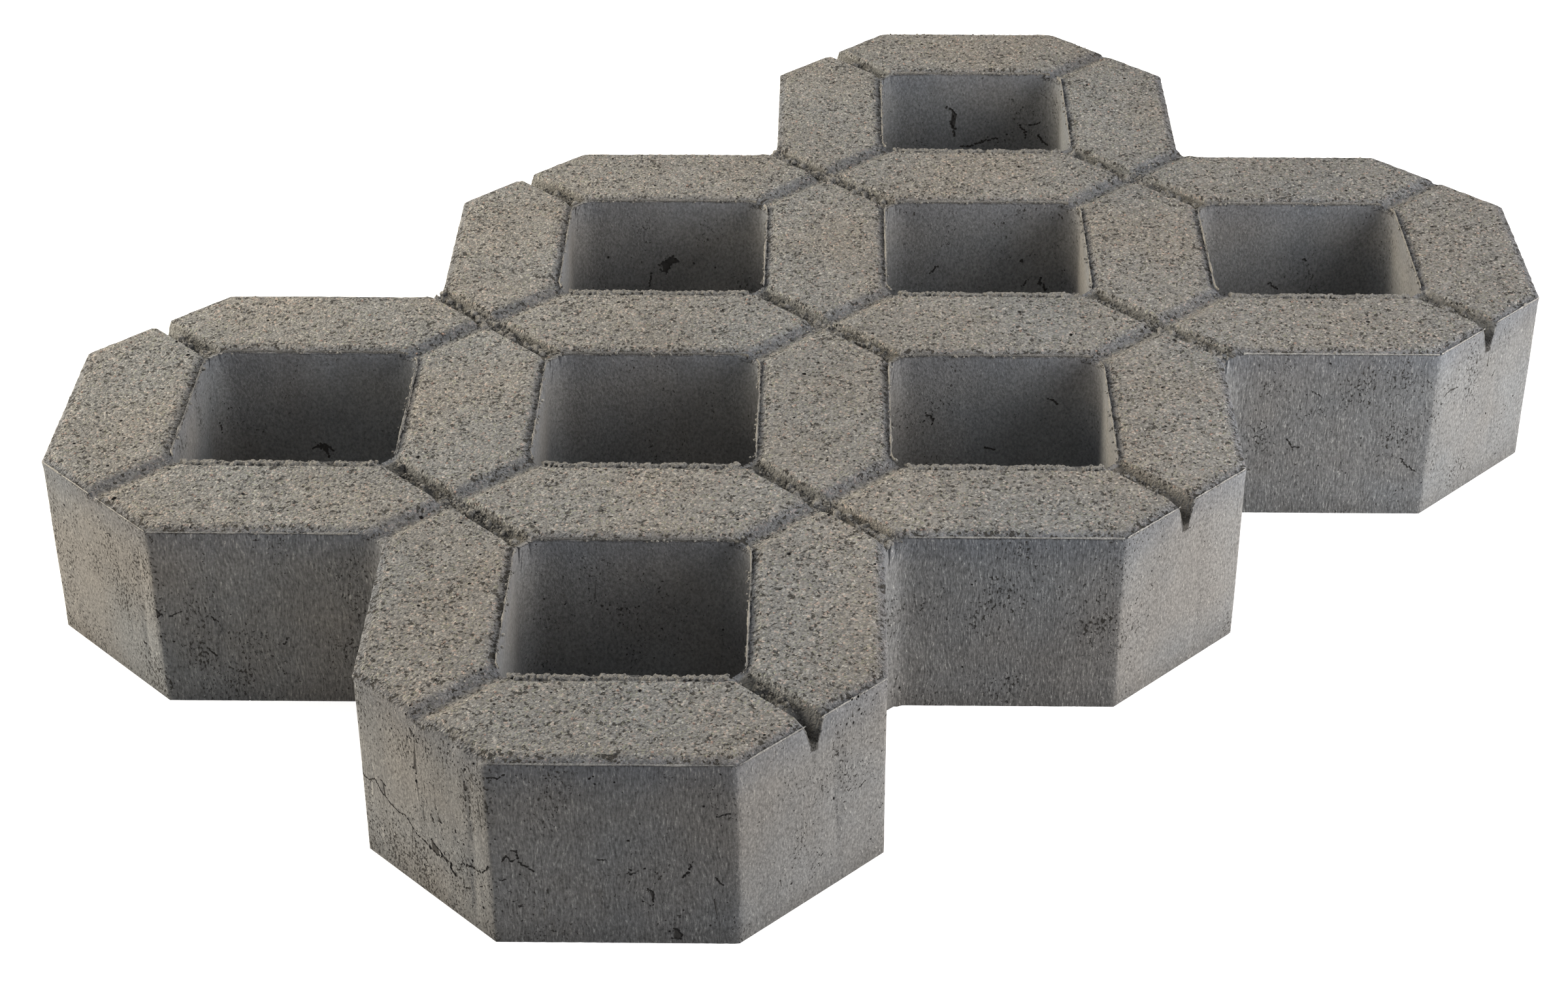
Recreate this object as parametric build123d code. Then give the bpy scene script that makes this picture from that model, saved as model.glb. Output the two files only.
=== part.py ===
from build123d import *
import os

# Concrete grass paver, pressed face up, flat underside on the floor.
# All sizes are in millimetres. X runs along the long side, Y along the short side, Z up.
# The origin is under the middle of the slab, on the flat underside.

# Laying pattern: cells stand on a lattice turned 45 degrees to the sides.
cell_step = 100.0          # half the distance between two cells in one row
joint_allowance = 3.0      # each side stands back this far from the laying module
slab_height = 80.0

# Cells and webs
hole_side = 88.0           # square through hole, wall to wall
hole_corner_radius = 10.0
outer_web = 50.0           # wall left outside the outermost holes
notch_radius = 10.0        # round of the re-entrant corners of the outline
arris_radius = 2.5         # small round on the standing outer corners

# Worn rim round every hole and along the outline, left by the press plate
rim_width = 3.5            # from the wall to the flat top
rim_drop = 2.0             # from the flat top down to the wall's upper edge
rim_ledge = 0.8            # narrow flat strip beside the wall, at the foot of the slope

# Grooves pressed into the top, crossing at the middle of every web crossing
deep_groove_width = 10.0   # grooves along Y
deep_groove_floor = 2.0
deep_groove_depth = 12.5
soft_groove_width = 11.0   # grooves along X
soft_groove_floor = 3.0
soft_groove_depth = 2.6

columns = range(-2, 3)     # cell columns along X, counted from the middle


def cell_centres():
    """Centres of the eight cells: two in each even column, one in each odd column."""
    centres = []
    for column in columns:
        rows = (-1, 1) if column % 2 == 0 else (0,)
        centres += [(column * cell_step, row * cell_step) for row in rows]
    return centres


cell_half = hole_side / 2 + outer_web
outer_column = max(columns)
slab_length = 2 * ((outer_column + 1) * cell_step - joint_allowance)
slab_width = 2 * (2 * cell_step - joint_allowance)


def slab_section(inset):
    """Outline less the holes, with every wall moved into the concrete by inset."""
    outline = Sketch()
    for x, y in cell_centres():
        outline += Pos(x, y) * Rectangle(2 * (cell_half - inset), 2 * (cell_half - inset), rotation=45)
    half_length = slab_length / 2 - inset
    half_width = slab_width / 2 - inset
    outline &= Rectangle(2 * half_length, 2 * half_width)
    reentrant = [corner for corner in outline.vertices()
                 if abs(corner.X) < half_length - 0.01 and abs(corner.Y) < half_width - 0.01]
    outline = fillet(reentrant, notch_radius + inset)
    if inset == 0:
        standing = [corner for corner in outline.vertices()
                    if abs(corner.X) > half_length - 0.01 or abs(corner.Y) > half_width - 0.01]
        outline = fillet(standing, arris_radius)
    hole = hole_side + 2 * inset
    for x, y in cell_centres():
        outline -= Pos(x, y) * RectangleRounded(hole, hole, hole_corner_radius + inset, rotation=45)
    return outline


def groove(width, floor, depth, length):
    """A pressed groove along Y: sloping sides down to a narrow floor."""
    clear = 5.0
    profile = Polygon(
        (-width / 2, 0), (-floor / 2, -depth), (floor / 2, -depth),
        (width / 2, 0), (width / 2, clear), (-width / 2, clear), align=None)
    return Pos(0, length / 2, slab_height) * (Rot(90, 0, 0) * extrude(profile, length))


def grass_paver():
    """The whole slab: walls, raised top with its worn rim, and the pressed grooves."""
    ledge_level = slab_height - rim_drop
    walls = extrude(slab_section(0), ledge_level)
    top = Pos(0, 0, ledge_level) * extrude(slab_section(rim_ledge), rim_drop)
    upper_face = top.faces().sort_by(Axis.Z)[-1]
    slope = rim_width - rim_ledge
    top = chamfer(upper_face.edges(), slope, rim_drop * 0.9, reference=upper_face)
    slab = walls + top
    across = slab_width + 2 * cell_step
    along = slab_length + 2 * cell_step
    for column in columns:
        slab -= Pos(column * cell_step, 0) * groove(
            deep_groove_width, deep_groove_floor, deep_groove_depth, across)
    for row in (-1, 0, 1):
        soft = Rot(0, 0, 90) * groove(soft_groove_width, soft_groove_floor, soft_groove_depth, along)
        slab -= Pos(0, row * cell_step) * soft
    return slab


paver = grass_paver()
os.makedirs("parts", exist_ok=True)
export_step(paver, "parts/grass_paver.step")
print("length, width, height", [round(v, 2) for v in paver.bounding_box().size])
print("volume in litres", round(paver.volume / 1e6, 3), "solids", len(paver.solids()), "faces", len(paver.faces()))
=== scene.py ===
import bpy
import numpy as np
from math import radians, sqrt
from mathutils import Euler, Matrix, Vector
from mathutils.noise import noise as mathNoise


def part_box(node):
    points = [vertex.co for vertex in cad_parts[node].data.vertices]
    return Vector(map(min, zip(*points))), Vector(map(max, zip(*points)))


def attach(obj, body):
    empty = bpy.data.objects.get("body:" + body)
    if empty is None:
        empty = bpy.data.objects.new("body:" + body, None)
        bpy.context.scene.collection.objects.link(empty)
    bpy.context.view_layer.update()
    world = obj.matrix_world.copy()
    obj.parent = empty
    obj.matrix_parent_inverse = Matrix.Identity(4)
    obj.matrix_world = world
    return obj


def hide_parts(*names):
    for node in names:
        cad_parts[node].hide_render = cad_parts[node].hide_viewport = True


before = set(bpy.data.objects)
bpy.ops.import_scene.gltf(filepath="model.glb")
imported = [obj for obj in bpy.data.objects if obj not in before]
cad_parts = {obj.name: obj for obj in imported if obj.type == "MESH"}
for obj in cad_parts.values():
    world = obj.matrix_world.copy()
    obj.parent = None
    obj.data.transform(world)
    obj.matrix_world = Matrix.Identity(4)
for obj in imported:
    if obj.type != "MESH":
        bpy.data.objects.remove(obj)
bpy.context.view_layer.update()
bpy.ops.object.select_all(action="DESELECT")

# the slab's plan, read from the frame and the laying pattern
lowCorner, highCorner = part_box("grass_paver")
halfLength = highCorner[0]
halfWidth = highCorner[1]
slabHeight = highCorner[2]
cellStep = halfLength - halfWidth  # half the distance between two cells of a row
cellCentres = []
for column in range(-2, 3):
    for row in ((-1, 1) if column % 2 == 0 else (0,)):
        cellCentres.append((column * cellStep, row * cellStep))

plan = {
    "holeHalf": 0.044,  # centre to wall of a square hole
    "cellHalf": 0.094,  # centre to outer wall of a cell
    "cornerRadius": 0.010,
    "rimDrop": 0.002,
    "deepHalf": 0.005,  # half width of the grooves along Y
    "deepFloor": 0.001,  # half width of their floor
    "deepDepth": 0.0125,
    "softHalf": 0.0055,  # half width of the grooves along X
    "softDepth": 0.0026,
    "noGroove": 0.04,  # the lattice's outermost lines run this near the outline, and aren't cut
}
lastDeep = halfLength - plan["noGroove"]
lastSoft = halfWidth - plan["noGroove"]


# Shared making steps

def activate(piece):
    bpy.ops.object.select_all(action="DESELECT")
    piece.select_set(True)
    bpy.context.view_layer.objects.active = piece


def applyAll(piece):
    activate(piece)
    for modifier in list(piece.modifiers):
        bpy.ops.object.modifier_apply(modifier=modifier.name)


def editing(on):
    bpy.ops.object.mode_set(mode="EDIT" if on else "OBJECT")


def newPiece(name, mesh):
    piece = bpy.data.objects.new(name, mesh)
    bpy.context.scene.collection.objects.link(piece)
    return piece


def vertexArrays(piece):
    count = len(piece.data.vertices)
    places = np.empty(count * 3)
    normals = np.empty(count * 3)
    piece.data.vertices.foreach_get("co", places)
    piece.data.vertices.foreach_get("normal", normals)
    return places.reshape(-1, 3), normals.reshape(-1, 3)


def movePoints(piece, places):
    piece.data.vertices.foreach_set("co", places.ravel())


def addMark(mesh, name, values, domain="POINT"):
    mesh.attributes.new(name, "FLOAT", domain).data.foreach_set("value", values)


def paintGroup(piece, name, weights, levels=12):
    group = piece.vertex_groups.new(name=name)
    steps = np.rint(np.clip(weights, 0, 1) * levels).astype(int)
    for level in range(1, levels + 1):
        chosen = np.nonzero(steps == level)[0]
        if len(chosen):
            group.add(chosen.tolist(), level / levels, "REPLACE")


def triangleCount(piece):
    return sum(len(face.vertices) - 2 for face in piece.data.polygons)


def smoothStep(low, high, value):
    share = np.clip((value - low) / (high - low), 0, 1)
    return share * share * (3 - 2 * share)


def wallGaps(x, y):
    # distances into the concrete from the nearest hole and from the outline
    nearestHole = np.full(x.shape, np.inf)
    outline = np.full(x.shape, np.inf)
    core = plan["holeHalf"] - plan["cornerRadius"]
    for centreX, centreY in cellCentres:
        u = np.abs(x - centreX + y - centreY) / sqrt(2)
        v = np.abs(y - centreY - x + centreX) / sqrt(2)
        qu = u - core
        qv = v - core
        hole = np.hypot(np.maximum(qu, 0), np.maximum(qv, 0)) + np.minimum(np.maximum(qu, qv), 0)
        nearestHole = np.minimum(nearestHole, hole - plan["cornerRadius"])
        outline = np.minimum(outline, np.maximum(u, v) - plan["cellHalf"])
    outline = np.maximum(outline, np.abs(x) - halfLength)
    outline = np.maximum(outline, np.abs(y) - halfWidth)
    return nearestHole, -outline


def wallGap(x, y):
    return np.minimum(*wallGaps(x, y))


def awayFromWalls(x, y, ofHoles):
    # unit steps in plan, straight into the concrete from the nearest hole or from the outline
    which = 0 if ofHoles else 1
    nudge = 0.0001
    alongX = wallGaps(x + nudge, y)[which] - wallGaps(x - nudge, y)[which]
    alongY = wallGaps(x, y + nudge)[which] - wallGaps(x, y - nudge)[which]
    length = np.maximum(np.hypot(alongX, alongY), 0.00001)
    return alongX / length, alongY / length


def latticeTurn(along, back):
    # a step along and behind a cell's front wall, turned into the slab's own axes
    return (along + back) / sqrt(2), (back - along) / sqrt(2)


def behindCell(x, y):
    # how far a place lies behind the middle of the nearest hole, seen square to the front walls
    nearest = np.full(x.shape, np.inf)
    behind = np.zeros(x.shape)
    for centreX, centreY in cellCentres:
        u = (x - centreX - y + centreY) / sqrt(2)
        v = (x - centreX + y - centreY) / sqrt(2)
        reach = np.maximum(np.abs(u), np.abs(v))
        behind = np.where(reach < nearest, v, behind)
        nearest = np.minimum(nearest, reach)
    return behind


def lineGap(value, offset):
    # distance to the nearest groove centre line, spaced one cell step apart
    return np.abs((value + offset) % cellStep - offset)


def roughen(piece, name, size, strength, group="", middle=0.5, stretch=None):
    # lumps of one size along the normals, and the cloud value that stays in place
    texture = bpy.data.textures.new(name, "CLOUDS")
    texture.noise_scale = size
    texture.noise_depth = 2
    layer = piece.modifiers.new(texture.name, "DISPLACE")
    layer.texture = texture
    layer.strength = strength
    layer.mid_level = middle
    layer.vertex_group = group
    if stretch is not None:
        layer.texture_coords = "OBJECT"
        layer.texture_coords_object = stretch


def evenSkin(piece, voxel):
    remesh = piece.modifiers.new("evenSkin", "REMESH")
    remesh.mode = "VOXEL"
    remesh.voxel_size = voxel
    applyAll(piece)


def thinOut(piece, share):
    thin = piece.modifiers.new("thin", "DECIMATE")
    thin.ratio = share
    applyAll(piece)


# Shader building blocks

class Wire:
    # one output of a shader node; arithmetic on it adds maths nodes to its tree
    def __init__(self, tree, socket):
        self.tree = tree
        self.socket = socket

    def out(self, name):
        # another output of the same node
        return Wire(self.tree, self.socket.node.outputs[name])

    def maths(self, operation, *others, clamp=False):
        values = dict(enumerate((self, *others)))
        return addNode(self.tree, "ShaderNodeMath", values, operation=operation, use_clamp=clamp)

    def __add__(self, other):
        return self.maths("ADD", other)

    def __sub__(self, other):
        return self.maths("SUBTRACT", other)

    def __mul__(self, other):
        return self.maths("MULTIPLY", other)

    def most(self, other):
        return self.maths("MAXIMUM", other)

    def clamped(self, gain):
        return self.maths("MULTIPLY", gain, clamp=True)

    def mapped(self, fromLow, fromHigh, toLow=0.0, toHigh=1.0, smooth=False):
        return addNode(self.tree, "ShaderNodeMapRange", {
            "Value": self, "From Min": fromLow, "From Max": fromHigh, "To Min": toLow, "To Max": toHigh},
            interpolation_type="SMOOTHSTEP" if smooth else "LINEAR")

    def mix(self, first, second):
        # this share of the second colour over the first
        return mixColours(self.tree, self, first, second, "MIX")

    def tinted(self, other):
        return mixColours(self.tree, 1.0, self, other, "MULTIPLY")


def plug(value, socket):
    if isinstance(value, Wire):
        value.tree.links.new(value.socket, socket)
    elif isinstance(value, tuple) and socket.type == "RGBA":
        socket.default_value = (*value, 1)
    else:
        socket.default_value = value


def addNode(tree, kind, values=None, output=0, **options):
    node = tree.nodes.new(kind)
    for option, value in options.items():
        setattr(node, option, value)
    for name, value in (values or {}).items():
        plug(value, node.inputs[name])
    return Wire(tree, node.outputs[output])


def mixColours(tree, factor, first, second, blend):
    values = {0: factor, 6: first, 7: second}
    return addNode(tree, "ShaderNodeMix", values, 2, data_type="RGBA", blend_type=blend)


def noise(place, scale, detail=2.0, roughness=0.6, output="Fac"):
    return addNode(place.tree, "ShaderNodeTexNoise", {
        "Vector": place, "Scale": scale, "Detail": detail, "Roughness": roughness}, output)


def clumpedPits(place, clumps, specks, weight, crowd, limits, sharpness):
    # specks that stand together in clumps, more of them as crowd grows
    edge = noise(place, clumps) * weight + noise(place, specks) * (1 - weight)
    return (edge - crowd.mapped(0, 1, *limits)).clamped(sharpness)


def swayed(place, scale, reach):
    # the place moved a little by a smooth noise
    bent = noise(place, scale, 1.0, 0.5, "Color")
    step = addNode(place.tree, "ShaderNodeVectorMath", {0: bent, "Scale": reach}, operation="SCALE")
    return addNode(place.tree, "ShaderNodeVectorMath", {0: place, 1: step}, operation="ADD")


def reframed(place, **values):
    return addNode(place.tree, "ShaderNodeMapping", {"Vector": place, **values})


def ownPlace(tree):
    return addNode(tree, "ShaderNodeTexCoord", output="Object")


def attribute(tree, name):
    return addNode(tree, "ShaderNodeAttribute", output="Fac", attribute_name=name)


def channels(colour):
    split = addNode(colour.tree, "ShaderNodeSeparateColor", {0: colour})
    return split, split.out(1)


def openGroup(name, inputs):
    tree = bpy.data.node_groups.new(name, "ShaderNodeTree")
    for label, value in inputs.items():
        socket = tree.interface.new_socket(label, in_out="INPUT", socket_type="NodeSocketFloat")
        socket.default_value = value
    return tree, addNode(tree, "NodeGroupInput")


def closeGroup(tree, results):
    for label in results:
        tree.interface.new_socket(label, in_out="OUTPUT", socket_type="NodeSocketFloat")
    end = tree.nodes.new("NodeGroupOutput")
    for label, value in results.items():
        plug(value, end.inputs[label])
    return tree


def placeGroup(tree, group, values=None):
    return addNode(tree, "ShaderNodeGroup", values, node_tree=group)


def newMaterial(name):
    material = bpy.data.materials.new(name)
    material.use_nodes = True
    shader = material.node_tree.nodes["Principled BSDF"]
    shader.inputs["Specular IOR Level"].default_value = 0.25
    return material, material.node_tree, shader


def addBump(tree, height, distance, shader):
    bump = addNode(tree, "ShaderNodeBump", {"Strength": 1.0, "Distance": distance, "Height": height})
    plug(bump, shader.inputs["Normal"])


# Camera, floor and lamps

cameraView = {"azimuth": -44.0, "elevation": 32.263, "roll": -0.173, "lens": 68.338, "sensor": 36,
              "place": (-0.77747, -0.77997, 0.68572), "farthest": 50}


def addCamera():
    bpy.ops.object.camera_add(location=cameraView["place"])
    camera = bpy.context.object
    camera.name = "photoCamera"
    turn = Euler((radians(90 - cameraView["elevation"]), 0, radians(cameraView["azimuth"]))).to_matrix()
    turn = turn @ Matrix.Rotation(radians(cameraView["roll"]), 3, "Z")
    camera.rotation_euler = turn.to_euler()
    camera.data.lens = cameraView["lens"]
    camera.data.sensor_width = cameraView["sensor"]
    camera.data.clip_end = cameraView["farthest"]
    bpy.context.scene.camera = camera


lampRig = {
    # name: azimuth it shines from, elevation, distance, side, watts, colour
    "backSoftbox": (-164, 35, 1.2, 0.75, 13.8, (1.0, 0.90, 0.72)),
    "leftSoftbox": (-134, 12, 1.5, 0.9, 24, (1.0, 0.90, 0.74)),
    "rightSoftbox": (41, 12, 1.5, 0.9, 17.2, (1.0, 0.92, 0.82)),
    "nearSoftbox": (16, 25, 0.9, 0.5, 4.0, (1.0, 1.0, 1.0)),
}


def addLamps():
    for name, (azimuth, elevation, distance, side, watts, colour) in lampRig.items():
        turn = Euler((radians(90 - elevation), 0, radians(azimuth))).to_matrix()
        bpy.ops.object.light_add(type="AREA", location=turn @ Vector((0, 0, distance)))
        lamp = bpy.context.object
        lamp.name = name
        lamp.rotation_euler = turn.to_euler()
        lamp.data.shape = "SQUARE"
        lamp.data.size = side
        lamp.data.energy = watts
        lamp.data.color = colour


def seenDirectly(tree):
    # one where the backdrop is seen straight, in a reflection or through glass
    path = addNode(tree, "ShaderNodeLightPath", output="Is Camera Ray")
    return path.most(path.out("Is Glossy Ray")).most(path.out("Is Transmission Ray"))


backdropLook = {
    "roomColour": (0.90, 0.93, 1.0), "roomStrength": 0.28,
    "floorInLight": (0.30, 0.30, 0.30),  # what the floor throws back onto the slab
    "floorSeen": (0.8, 0.8, 0.8), "floorLift": 0.78,  # and how it looks, shadows and all
}


def addWorld():
    world = bpy.data.worlds.new("softRoom")
    bpy.context.scene.world = world
    world.use_nodes = True
    tree = world.node_tree
    tree.nodes.clear()
    room = addNode(tree, "ShaderNodeBackground", {
        "Color": backdropLook["roomColour"], "Strength": backdropLook["roomStrength"]})
    backdrop = addNode(tree, "ShaderNodeBackground", {"Color": (1, 1, 1)})
    mix = addNode(tree, "ShaderNodeMixShader", {0: seenDirectly(tree), 1: room, 2: backdrop})
    plug(mix, tree.nodes.new("ShaderNodeOutputWorld").inputs["Surface"])


def addFloor():
    bpy.ops.mesh.primitive_plane_add(size=14, location=(0, 0, 0))
    floor = bpy.context.object
    floor.name = "floor"
    material = bpy.data.materials.new("paleFloor")
    material.use_nodes = True
    tree = material.node_tree
    tree.nodes.clear()
    dull = addNode(tree, "ShaderNodeBsdfDiffuse", {"Color": backdropLook["floorInLight"]})
    pale = addNode(tree, "ShaderNodeBsdfDiffuse", {"Color": backdropLook["floorSeen"]})
    lift = addNode(tree, "ShaderNodeEmission", {"Strength": backdropLook["floorLift"]})
    bright = addNode(tree, "ShaderNodeAddShader", {0: pale, 1: lift})
    mix = addNode(tree, "ShaderNodeMixShader", {0: seenDirectly(tree), 1: dull, 2: bright})
    plug(mix, tree.nodes.new("ShaderNodeOutputMaterial").inputs["Surface"])
    floor.data.materials.append(material)


addCamera()
addLamps()
addWorld()
addFloor()
bpy.context.scene.view_settings.view_transform = "Standard"
print("stage ready")


# Node groups of the concrete

def makePlaceMasks():
    # where on the slab a point is, from its own coordinates
    tree, given = openGroup("placeMasks", {"Top Level": slabHeight})
    x = addNode(tree, "ShaderNodeSeparateXYZ", {0: ownPlace(tree)})
    y = x.out("Y")
    z = x.out("Z")
    depth = given - z
    fromMiddleX = x.maths("ABSOLUTE")
    fromMiddleY = y.maths("ABSOLUTE")
    # the flat top with its soft grooves
    top = depth.mapped(plan["rimDrop"] + 0.0001, plan["rimDrop"] + 0.0009, 1, 0)
    along = y.maths("WRAP", cellStep / 2, -cellStep / 2)
    inward = fromMiddleY.mapped(lastSoft, lastSoft + 0.001, 1, 0)
    softly = along.maths("ABSOLUTE").mapped(plan["softHalf"], plan["softHalf"] + 0.001, 1, 0) * inward
    lowTop = depth.mapped(plan["softDepth"] + 0.0016, plan["softDepth"] + 0.0024, 1, 0)
    top = top.most(lowTop * softly)
    # the far slope of each soft groove, which gets painted shade
    rise = along.mapped(-0.0018, 0.0022, smooth=True)
    fall = along.mapped(0.0036, 0.0072, 1, 0, smooth=True)
    # the deep grooves, down their banks to the floor
    reach = depth.mapped(0.0, plan["deepDepth"], plan["deepHalf"], plan["deepFloor"])
    inside = (x.maths("PINGPONG", cellStep / 2) - reach).mapped(0.0004, 0.0012, 1, 0)
    inside *= depth.mapped(0.0010, 0.0026)
    inside *= depth.mapped(plan["deepDepth"] + 0.0015, plan["deepDepth"] + 0.0022, 1, 0)
    return closeGroup(tree, {
        "Top": top,
        "Deep Groove": inside * fromMiddleX.mapped(lastDeep, lastDeep + 0.001, 1, 0),
        # deep pockets of the groove sand, which get painted shade
        "Pocket": depth.mapped(0.0062, 0.0092),
        "Soft Slope": rise * fall * top * inward,
        "Below Rim": depth.mapped(0.002, 0.020, 1, 0, smooth=True),
        "Foot": z.mapped(0.001, 0.012, 1, 0, smooth=True),
        "End Wall": fromMiddleX.mapped(halfLength - 0.003, halfLength - 0.002),
        "Side Wall": fromMiddleY.mapped(halfWidth - 0.003, halfWidth - 0.002)})


def makeSandGrain():
    # fine sand and cement: tone, tint and height of grains, and a mask of small pits between them that get
    # painted shade
    tree, grains = openGroup("sandGrain", {"Grains Per Metre": 1150.0, "Pit Share": 0.72})
    pitShare = grains.out("Pit Share")
    place = ownPlace(tree)
    gap = addNode(tree, "ShaderNodeTexVoronoi", {"Vector": place, "Scale": grains}, "Distance")
    lump = noise(place, grains * 0.8, 2.0, 0.7)
    shade, tint = channels(gap.out("Color"))
    pits = clumpedPits(place, 120.0, 520.0, 0.30, pitShare, (0.71, 0.55), 22.0)
    dotGap = addNode(tree, "ShaderNodeTexVoronoi", {
        "Vector": swayed(place, 700.0, 0.0032), "Scale": 440.0}, "Distance")
    reach, chance = channels(dotGap.out("Color"))
    dot = (reach.mapped(0, 1, 0.16, 0.42) - dotGap).clamped(12.0)
    crowd = pitShare * noise(place, 85.0).mapped(0.40, 0.60, 0.45, 1.25)
    pits = pits.most(dot * chance.maths("LESS_THAN", crowd))
    bulge = gap.mapped(0.0, 0.8, 1, 0)
    return closeGroup(tree, {
        "Tone": lump * 0.6 + shade * 0.4,
        "Tint": tint,
        "Pits": pits,
        "Height": bulge * 0.5 + lump - pits * 1.4})


def makeDragMarks():
    # upright scratches that the mould walls leave as the fresh slab is drawn, and small air holes that get
    # painted shade
    tree, marks = openGroup("dragMarks", {"Marks Per Metre": 1500.0, "Hole Share": 0.5, "Plain": 0.0})
    plain = marks.out("Plain")
    place = ownPlace(tree)
    drawn = reframed(swayed(place, 60.0, 0.004), Scale=(1.0, 1.0, 0.20))
    short = reframed(place, Scale=(1.0, 1.0, 0.75))
    fine = noise(drawn, marks)
    grit = noise(short, 950.0, 2.0, 0.65)
    tone = fine * plain.mapped(0, 1, 0.60, 0.0) + grit * plain.mapped(0, 1, 0.40, 1.0)
    shown = (tone - 0.5) * plain.mapped(0, 1, 3.4, 1.6) + 1.0
    lines = (fine - 0.58).clamped(9.0) * grit.mapped(0.46, 0.56)
    holes = clumpedPits(short, 45.0, 900.0, 0.35, marks.out("Hole Share"), (0.66, 0.54), 24.0)
    return closeGroup(tree, {
        "Tone": shown.most(0.2),
        "Lines": lines,
        "Holes": holes,
        "Streaks": noise(drawn, 45.0, 3.0),
        "Height": tone + lines * 0.5 - holes * 1.6})


def makeWeathering():
    # broad patches of tone and of warm or cool colour
    tree, patches = openGroup("weathering", {"Patches Per Metre": 14.0})
    place = ownPlace(tree)
    results = {}
    for label, offset in (("Tone", 0.0), ("Warmth", 3.1)):
        moved = reframed(place, Location=(offset, offset, 0.0))
        results[label] = noise(moved, patches, 4.0, 0.55)
    return closeGroup(tree, results)


placeMasks = makePlaceMasks()
sandGrain = makeSandGrain()
dragMarks = makeDragMarks()
weathering = makeWeathering()


# Concrete of the slab

concreteLook = {
    "topColour": (0.226, 0.221, 0.214),
    "wallColour": (0.240, 0.238, 0.236),
    "scratchColour": (0.430, 0.425, 0.410),
    "grooveColour": (0.200, 0.196, 0.186),
    "fillColour": (0.132, 0.126, 0.115),
    # painted shade on the soft grooves' far slopes and on the narrow slopes down to the walls
    "slopeShadeColour": (0.150, 0.156, 0.172),
    "rimColour": (0.190, 0.198, 0.215),
    "footColour": (0.150, 0.145, 0.138),
    # painted shade in pits and air holes
    "pitShadeColour": (0.050, 0.047, 0.043),
    # painted shade in cut-away cracks and pits and in deep pockets
    "cavityShadeColour": (0.046, 0.043, 0.040),
    "coolCast": (0.96, 1.0, 1.04),
    "warmCast": (1.03, 1.0, 0.965),
    "stones": [  # colour, range of tints that have it, its share
        ((0.430, 0.420, 0.395), 0.82, 0.88, 0.65),
        ((0.360, 0.270, 0.235), 0.91, 0.97, 0.65),
        ((0.225, 0.232, 0.175), 0.12, 0.04, 0.6),
    ],
    "topBump": 0.00075,
    "wallBump": 0.00035,
}


def makeConcrete():
    look = concreteLook
    material, tree, shader = newMaterial("concrete")
    inHole, cutAway, edgeGap, filled = (
        attribute(tree, name) for name in ("inHole", "cutAway", "edgeGap", "filled"))
    masks = placeGroup(tree, placeMasks)
    endWall = masks.out("End Wall")
    sideWall = masks.out("Side Wall")
    drag = placeGroup(tree, dragMarks, {
        "Hole Share": inHole.mapped(0, 1, 0.40, 0.28) + endWall * 0.44,
        "Plain": inHole.most(endWall.most(sideWall) * 0.65)})
    grain = placeGroup(tree, sandGrain, {"Pit Share": edgeGap.mapped(2.0, 6.0, 0.95, 0.70)})
    patch = placeGroup(tree, weathering)
    tone = grain.out("Tone")
    inGroove = masks.out("Deep Groove") * sideWall.most(edgeGap.mapped(1.4, 2.6))
    # grooved and sanded top
    top = look["topColour"]
    for colour, low, high, share in look["stones"]:
        top = grain.out("Tint").mapped(low, high, 0, share).mix(top, colour)
    # painted shade on the far slope of each soft groove
    top = (masks.out("Soft Slope") * 0.55).mix(top, look["slopeShadeColour"])
    # painted shade on the narrow slope down to the walls
    top = edgeGap.mapped(1.5, 4.5, 0.70, 0, smooth=True).mix(top, look["slopeShadeColour"])
    top = top.tinted(tone.mapped(0.30, 0.70, 0.60, 1.36))
    # painted shade in the pits between the sand grains
    top = grain.out("Pits").mix(top, look["pitShadeColour"])
    # drawn walls
    wall = (masks.out("Below Rim") * 0.7).mix(look["wallColour"], look["rimColour"])
    wall = (masks.out("Foot") * 0.45).mix(wall, look["footColour"])
    wall = (drag.out("Lines") * inHole.mapped(0, 1, 0.65, 0.25)).mix(wall, look["scratchColour"])
    wall = wall.tinted(drag.out("Tone") * drag.out("Streaks").mapped(0.3, 0.7, 0.94, 1.06))
    # painted shade in the small air holes of the walls
    wall = drag.out("Holes").mix(wall, look["pitShadeColour"])
    # banks of the deep grooves, and the sand between them
    groove = filled.mix(look["grooveColour"], look["fillColour"])
    groove = groove.tinted(tone.mapped(0.30, 0.70, 0.78, 1.22))
    # painted shade in the pits of the sand in the grooves
    groove = (grain.out("Pits") * filled.mapped(0, 1, 0.35, 1)).mix(groove, look["pitShadeColour"])
    # painted shade in the deep pockets of the groove sand
    groove = (masks.out("Pocket") * 0.8).mix(groove, look["cavityShadeColour"])
    both = masks.out("Top").mix(inGroove.mix(wall, groove), top)
    # broad patches over everything, and painted shade in the air holes and cracks cut away
    both = both.tinted(patch.out("Tone").mapped(0.3, 0.7, 0.91, 1.09))
    both = both.tinted(patch.out("Warmth").mapped(0.35, 0.65).mix(look["coolCast"], look["warmCast"]))
    both = (cutAway * 0.92).mix(both, look["cavityShadeColour"])
    plug(both, shader.inputs["Base Color"])
    plug(tone.mapped(0.3, 0.7, 0.84, 0.96), shader.inputs["Roughness"])
    # relief below the size of the mesh
    height = addNode(tree, "ShaderNodeMix", {
        0: masks.out("Top").most(inGroove),
        2: drag.out("Height") * look["wallBump"],
        3: grain.out("Height") * look["topBump"]}, data_type="FLOAT")
    addBump(tree, height, 1.0, shader)
    return material


concrete = makeConcrete()


# Sand grains, crumbs and squeezed-up fines, bonded to the slab

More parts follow.
